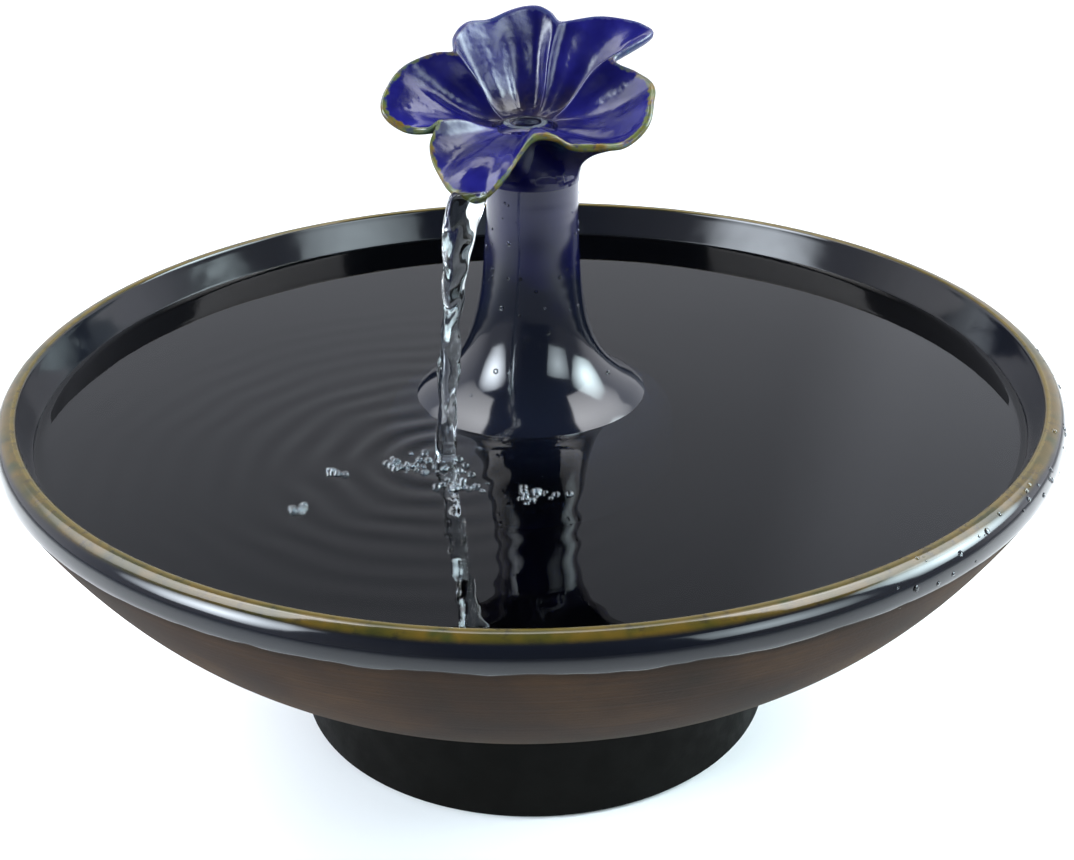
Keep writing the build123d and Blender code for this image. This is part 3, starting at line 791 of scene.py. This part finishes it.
class FOUNTAIN_OT_pool(bpy.types.Operator):
    """Fill the bowl: a level pool whose surface carries rings of ripples from the stream"""

    bl_idname = "fountain.pool"
    bl_label = "Pool"

    def execute(self, context):
        sizes = context.scene.fountain
        level = sizes.water_level
        # The water reaches a little into the glaze, so that no gap shows between them.
        sink = 0.4
        wall = [(58, 56)] + curve_points((58, 56), (118, 56), (138, 82), WATER_LINE, steps=24)
        edge_r = WATER_LINE[0] + sink
        profile = [(0, 56 - sink)] + [(r + sink, z - sink) for r, z in wall[:-1]]
        profile += [(edge_r, level / MM - 0.6), (edge_r, level / MM)]
        rings = 120
        profile += [(edge_r * (1 - k / rings), level / MM) for k in range(1, rings + 1)]
        piece = turned("pool_water", [(r * MM, z * MM) for r, z in profile], 288, "poles")
        landing = Vector((STREAM_FOOT.x, STREAM_FOOT.y))

        def ripple(co):
            if co.z < level - 0.3 * MM:
                return co
            flat = Vector((co.x, co.y))
            reach = (flat - landing).length
            radius = flat.length
            # The stream leans to -X and drives its rings of ripples that way; they die away with
            # reach, cross the faint rings that the bell sends back, and climb the glaze at the edge.
            leftward = 0.5 - 0.5 * (co.x - landing.x) / max(reach, 1e-6)
            fade = math.exp(-reach / (32 * MM)) * min(1.0, reach / (5 * MM))
            fade *= 0.12 + 0.88 * leftward
            uneven = noise.noise(Vector((co.x * 45, co.y * 45, 7.0)))
            wave = math.sin((reach + 3 * MM * uneven) * 2 * math.pi / RING_SPACING - 0.8)
            wave *= fade * (1 + uneven)
            back = math.sin((radius - BELL_HIGH.x) * 2 * math.pi / (17 * MM))
            back *= math.exp(-radius / (70 * MM))
            swell = noise.noise(Vector((co.x * 16, co.y * 16, 3.0)))
            height = sizes.ripple_height * (wave + 0.02 * back + 0.25 * swell)
            climb = max(0.0, 1 - (WATER_LINE[0] * MM - radius) / (2.4 * MM))
            return Vector((co.x, co.y, co.z + height * (1 - climb) + 0.5 * MM * climb**2))

        reshape(piece, ripple)
        settle(piece, angle=60)
        dress(piece, clear_water(), "bowl", "water")
        return {"FINISHED"}


class FOUNTAIN_OT_welling(bpy.types.Operator):
    """Well the water up out of the flower's throat in a low clear dome"""

    bl_idname = "fountain.welling"
    bl_label = "Welling water"

    def execute(self, context):
        rings = 24
        foot, top = THROAT_HEIGHT - 1.2 * MM, THROAT_HEIGHT + 1.6 * MM
        profile = [(0, foot), (WELL_RADIUS * 0.5, foot), (WELL_RADIUS, foot)]
        for k in range(rings + 1):
            share = 1 - k / rings
            profile.append((WELL_RADIUS * share, foot + (top - foot) * (1 - share**4)))
        piece = turned("welling_water", profile, 96, "poles")

        def swirl(co):
            wave = noise.noise(Vector((co.x * 160, co.y * 160, 1.0)))
            reach = math.hypot(co.x, co.y) / WELL_RADIUS
            return co + Vector((0, 0, wave * 0.5 * MM * (1 - reach) if co.z > THROAT_HEIGHT else 0))

        reshape(piece, swirl)
        settle(piece, angle=60)
        dress(piece, clear_water(), "column", "water")
        return {"FINISHED"}


class FOUNTAIN_OT_stream(bpy.types.Operator):
    """Pour the stream: a flat twisting ribbon at the lip that draws in to a round cord"""

    bl_idname = "fountain.stream"
    bl_label = "Stream"

    def execute(self, context):
        rings, around = 150, 28
        profile = [(2.5 * MM, (108 + 76 * k / rings) * MM) for k in range(rings + 1)]
        piece = turned("falling_stream", profile, around, "open")
        bpy.ops.object.mode_set(mode="OBJECT")
        for index, vertex in enumerate(piece.data.vertices):
            ring, column = divmod(index, around)
            drop = 1 - ring / rings
            time = math.sqrt(drop)
            middle = Vector((
                STREAM_TOP.x + (STREAM_FOOT.x - STREAM_TOP.x) * time,
                STREAM_TOP.y + (STREAM_FOOT.y - STREAM_TOP.y) * time,
                STREAM_TOP.z + (STREAM_FOOT.z - STREAM_TOP.z) * drop,
            ))
            # It starts as a flat ribbon at the lip; falling draws it in, and it beats from
            # flat to round as it twists.
            draw = 1 / (1 + 1.6 * drop) ** 0.5
            beat = math.sin(drop * 17.0 + 0.4)
            wide = (5.5 * draw + 0.7 * beat * (0.3 + drop)) * MM
            thin = (2.3 + 0.4 * drop - 0.6 * beat * (0.3 + drop)) * MM
            twist = 0.25 + drop * 2.2
            turn = 2 * math.pi * column / around
            across, deep = wide * math.cos(turn), thin * math.sin(turn)
            spot = Vector((middle.z * 140, math.cos(turn) * 1.4, math.sin(turn) * 1.4))
            waver = noise.noise(spot) * 0.85 * MM
            across += waver * math.cos(turn)
            deep += waver * math.sin(turn)
            vertex.co = middle + Vector((
                across * math.cos(twist) - deep * math.sin(twist),
                across * math.sin(twist) + deep * math.cos(twist), 0,
            ))
        bpy.ops.object.mode_set(mode="EDIT")
        bpy.ops.mesh.select_all(action="SELECT")
        bpy.ops.mesh.region_to_loop()
        bpy.ops.mesh.edge_face_add()
        settle(piece, angle=70)
        dress(piece, clear_water(), "column", "water")
        return {"FINISHED"}


def bead(name, place, radius, squash=1.0, tilt=None):
    """One small round drop or bubble, its place in its mesh."""
    piece = start_mesh(
        name, bpy.ops.mesh.primitive_uv_sphere_add,
        segments=12, ring_count=8, radius=radius, location=(0, 0, 0),
    )
    bpy.ops.object.mode_set(mode="OBJECT")
    flattened = (tilt or Matrix.Identity(4)) @ Matrix.Diagonal((1, 1, squash, 1))
    piece.data.transform(Matrix.Translation(place) @ flattened)
    return piece


def joined(pieces, name):
    """Joins beads into one piece."""
    bpy.ops.object.select_all(action="DESELECT")
    for piece in pieces:
        piece.select_set(True)
    bpy.context.view_layer.objects.active = pieces[0]
    bpy.ops.object.join()
    whole = bpy.context.object
    whole.name = name
    whole.data.name = name
    bpy.ops.object.shade_smooth()
    return whole


class FOUNTAIN_OT_bubbles(bpy.types.Operator):
    """Float bubbles round the place where the stream lands"""

    bl_idname = "fountain.bubbles"
    bl_label = "Bubbles"

    def execute(self, context):
        sizes = context.scene.fountain
        chance = random.Random(11)
        # Where the bubbles gather, and how far each gathering reaches, in millimetres.
        clusters = [
            ((-33, -52), 9), ((-20, -66), 8), ((0.8, -72), 6), ((-37, -54), 5), ((-24, -56), 7),
            ((-33, -52), 9), ((0.8, -72), 6), ((-63, -78), 3), ((-20, -66), 8), ((-56, -56), 3),
        ]
        beads = []
        for k in range(sizes.bubble_count):
            (x, y), reach = clusters[k % len(clusters)]
            place = Vector((
                (x + chance.gauss(0, reach * 0.5)) * MM, (y + chance.gauss(0, reach * 0.35)) * MM,
                sizes.water_level - 0.2 * MM,
            ))
            beads.append(bead("bubble", place, chance.uniform(0.6, 1.6) * MM, 0.9))
        piece = joined(beads, "floating_bubbles")
        skin = piece.modifiers.new("thin_skin", "SOLIDIFY")
        skin.thickness = 0.09 * MM
        bpy.ops.object.modifier_apply(modifier=skin.name)
        dress(piece, clear_water(), "bowl", "water")
        return {"FINISHED"}


def drops_on(piece, name, count, turns, levels, sizes_mm, chance):
    """Small flattened drops on a piece's outside, between two directions and two heights."""
    beads = []
    while len(beads) < count:
        turn = math.radians(chance.uniform(*turns))
        outward = Vector((math.cos(turn), math.sin(turn), 0))
        start = outward * 0.2 + Vector((0, 0, chance.uniform(*levels) * MM))
        hit, place, normal, _ = piece.ray_cast(start, -outward)
        if hit:
            tilt = normal.to_track_quat("Z", "Y").to_matrix().to_4x4()
            beads.append(bead("drop", place, chance.uniform(*sizes_mm) ** 2 * MM, 0.5, tilt))
    return joined(beads, name)


class FOUNTAIN_OT_drops(bpy.types.Operator):
    """Scatter the drops that splash onto the bowl's rim and the column"""

    bl_idname = "fountain.drops"
    bl_label = "Drops"

    def execute(self, context):
        chance = random.Random(5)
        bowl, column = bpy.data.objects["thrown_bowl"], bpy.data.objects["glazed_column"]
        rim = drops_on(bowl, "rim_drops", 70, (-58, 20), (110.5, 120), (0.5, 1.0), chance)
        dress(rim, clear_water(), "bowl", "water")
        stem = drops_on(column, "column_drops", 46, (-165, 10), (113, 174), (0.5, 0.95), chance)
        dress(stem, clear_water(), "column", "water")
        return {"FINISHED"}


# --- The pump and the stand --------------------------------------------------------------
class FOUNTAIN_OT_fittings(bpy.types.Operator):
    """Finish the stand, the tube and every piece of the pump in its own material"""

    bl_idname = "fountain.fittings"
    bl_label = "Stand and pump"

    def execute(self, context):
        black_abs = moulded_plastic("eroded_black_abs", "#101012", "#1a1a1d")
        soft_rubber = rubber()
        finishes = {
            "stand_ring": moulded_plastic(
                "matt_black_stand", "#030302", "#090806",
                grain_mm=1.4, rough=0.6, depth_mm=0.05, shine=0.06,
            ),
            "grip_ring": soft_rubber, "bowl_cushion": soft_rubber, "tube_sleeves": soft_rubber,
            "cable_gland": soft_rubber, "rear_bush": soft_rubber, "front_bush": soft_rubber,
            "volute_seal": soft_rubber, "suction_cups": soft_rubber,
            "riser_tube": clear_vinyl(),
            "motor_housing": black_abs, "volute_cover": black_abs, "intake_cover": black_abs,
            "flow_dial": moulded_plastic("grey_dial_abs", "#3c3f44", "#4c5056"),
            "coil_bobbin": moulded_plastic("natural_nylon", "#d9d6c8", "#e8e6da", 0.6, 0.4),
            "impeller": moulded_plastic("white_acetal", "#dfe2e2", "#eef0f0", 0.5, 0.35),
            "stator_core": lamination_steel(), "copper_coil": wound_copper(),
            "potting_resin": cast_epoxy(), "intake_foam": filter_foam(),
            "rotor_magnet": hard_ceramic("sintered_ferrite", "#26262a", "#36363b", 0.45),
            "rotor_shaft": hard_ceramic("ground_alumina", "#e6e4da", "#f2f1ea", 0.2),
        }
        for node, material in finishes.items():
            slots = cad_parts[node].material_slots
            for slot in slots:
                slot.material = material
        return {"FINISHED"}


# --- Floor, lights and camera ------------------------------------------------------------
def aimed(place, target):
    """The place and turn of a light or camera that stands at place and faces target."""
    facing = Vector(target) - Vector(place)
    return Matrix.Translation(place) @ facing.to_track_quat("-Z", "Y").to_matrix().to_4x4()


def softbox(name, place, target, wide, high, power, colour, grid):
    """A soft rectangular light; its grid keeps the light within an angle in degrees."""
    lamp = bpy.data.lights.new(name, "AREA")
    lamp.shape = "RECTANGLE"
    lamp.size, lamp.size_y = wide, high
    lamp.energy = power
    lamp.spread = math.radians(grid)
    lamp.color = linear(colour)[:3]
    holder = bpy.data.objects.new(name, lamp)
    bpy.context.collection.objects.link(holder)
    holder.matrix_world = aimed(place, target)


class FOUNTAIN_OT_stage(bpy.types.Operator):
    """Set the pale floor, the soft studio lights and the camera"""

    bl_idname = "fountain.stage"
    bl_label = "Floor, lights and camera"

    def execute(self, context):
        sizes = context.scene.fountain
        floor = start_mesh(
            "studio_floor", bpy.ops.mesh.primitive_plane_add, size=12.0, location=(0, 0, 0)
        )
        bpy.ops.mesh.subdivide(number_cuts=4)
        settle(floor)
        material, node, place, shader = new_material("painted_floor")
        faint = node("ease", node("cloud", place, feature(120), Detail=2), 0.3, 0.7, 0.0, 0.3)
        wire(shader, Base_Color=node("blend", faint, sizes.floor_hex, "#efefee"),
             Roughness=0.9, Specular_IOR_Level=0.1)
        floor.data.materials.append(material)

        world = bpy.data.worlds.new("studio")
        context.scene.world = world
        world.use_nodes = True
        sky = world.node_tree
        sky.nodes.clear()
        node = partial(add, sky)
        direction = node("direction")
        sideways, back, height = [node(axis, direction) for axis in ("x of", "y of", "z of")]
        # The room is bright behind and at the sides, brightest at the back right, and dim overhead.
        behind = node("ease", back, -0.1, 0.35, 0.0, 0.74)
        sides = node("ease", node("ABSOLUTE", sideways), 0.45, 0.85, 0.0, 0.35)
        slant = node("ADD", sideways, node("MULTIPLY", height, 0.317))
        bright_right = node("MULTIPLY", node("ease", slant, 0.29, 0.37, 0.0, 0.6), behind)
        bright_left = node("ease", sideways, -0.5, -0.15, 0.25, 0.0)
        walls = node("ADD", behind, sides)
        room = node("ADD", walls, node("ADD", bright_right, bright_left))
        room = node("MULTIPLY", room, node("ease", height, 0.5, 0.85, 1.0, 0.1))
        tone = node("blend", node("ease", height, 0.0, 0.6), "#f6f8ff", "#e6ebf8")
        node("world", node("glow", tone, node("ADD", room, 0.07)))

        # Name, place, what it faces, width and height in metres, watts, colour, grid in degrees.
        aim = (0, 0, 0.12)
        softbox("left_window", (-1.3, -0.6, 0.85), aim, 1.1, 1.0, 6.0, "#e2ecf6", 44)
        softbox("right_window", (1.5, 0.1, 0.9), aim, 1.2, 1.0, 6.0, "#dcf0f6", 44)
        softbox("right_front_window", (1.15, -1.05, 0.8), aim, 1.0, 0.8, 1.6, "#dcecf4", 46)
        softbox("left_table", (-0.6, 0.2, 0.6), (-0.46, 0.1, 0), 0.45, 0.8, 3.4, "#f2f4f8", 96)
        softbox("right_table", (0.6, 0.2, 0.6), (0.46, 0.1, 0), 0.45, 0.8, 3.6, "#f2f4f8", 96)
        softbox("far_table", (0.0, 2.2, 3.0), (0.0, 2.0, 0), 4.0, 1.6, 46, "#ffffff", 80)

        lens = bpy.data.cameras.new("camera")
        lens.sensor_width = 36
        lens.lens = CAMERA_LENS_MM
        lens.clip_start = 0.01
        camera = bpy.data.objects.new("camera", lens)
        context.collection.objects.link(camera)
        roll = Matrix.Rotation(CAMERA_ROLL, 4, "Z")
        camera.matrix_world = aimed(CAMERA_PLACE, CAMERA_AIM) @ roll
        context.scene.camera = camera
        context.scene.view_settings.view_transform = "Standard"
        return {"FINISHED"}


# --- Panel and registration --------------------------------------------------------------
STEPS = (
    FOUNTAIN_OT_bowl, FOUNTAIN_OT_column, FOUNTAIN_OT_flower, FOUNTAIN_OT_pool,
    FOUNTAIN_OT_welling, FOUNTAIN_OT_stream, FOUNTAIN_OT_bubbles, FOUNTAIN_OT_drops,
    FOUNTAIN_OT_fittings, FOUNTAIN_OT_stage,
)


class FOUNTAIN_PT_panel(bpy.types.Panel):
    """Lists the fountain's steps and sizes"""

    bl_label = "Fountain"
    bl_idname = "FOUNTAIN_PT_panel"
    bl_space_type = "VIEW_3D"
    bl_region_type = "UI"
    bl_category = "Fountain"

    def draw(self, context):
        for step in STEPS:
            self.layout.operator(step.bl_idname)
        for name in FountainSizes.__annotations__:
            self.layout.prop(context.scene.fountain, name)


CLASSES = (FountainSizes, *STEPS, FOUNTAIN_PT_panel)


def register():
    """Adds the classes and the scene's fountain sizes."""
    for cls in CLASSES:
        bpy.utils.register_class(cls)
    bpy.types.Scene.fountain = PointerProperty(type=FountainSizes)


def unregister():
    """Takes them away again, in the opposite order."""
    del bpy.types.Scene.fountain
    for cls in reversed(CLASSES):
        bpy.utils.unregister_class(cls)


def main():
    """Registers the add-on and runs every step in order."""
    register()
    for step in STEPS:
        group, name = step.bl_idname.split(".")
        getattr(getattr(bpy.ops, group), name)()


if __name__ == "__main__":
    main()
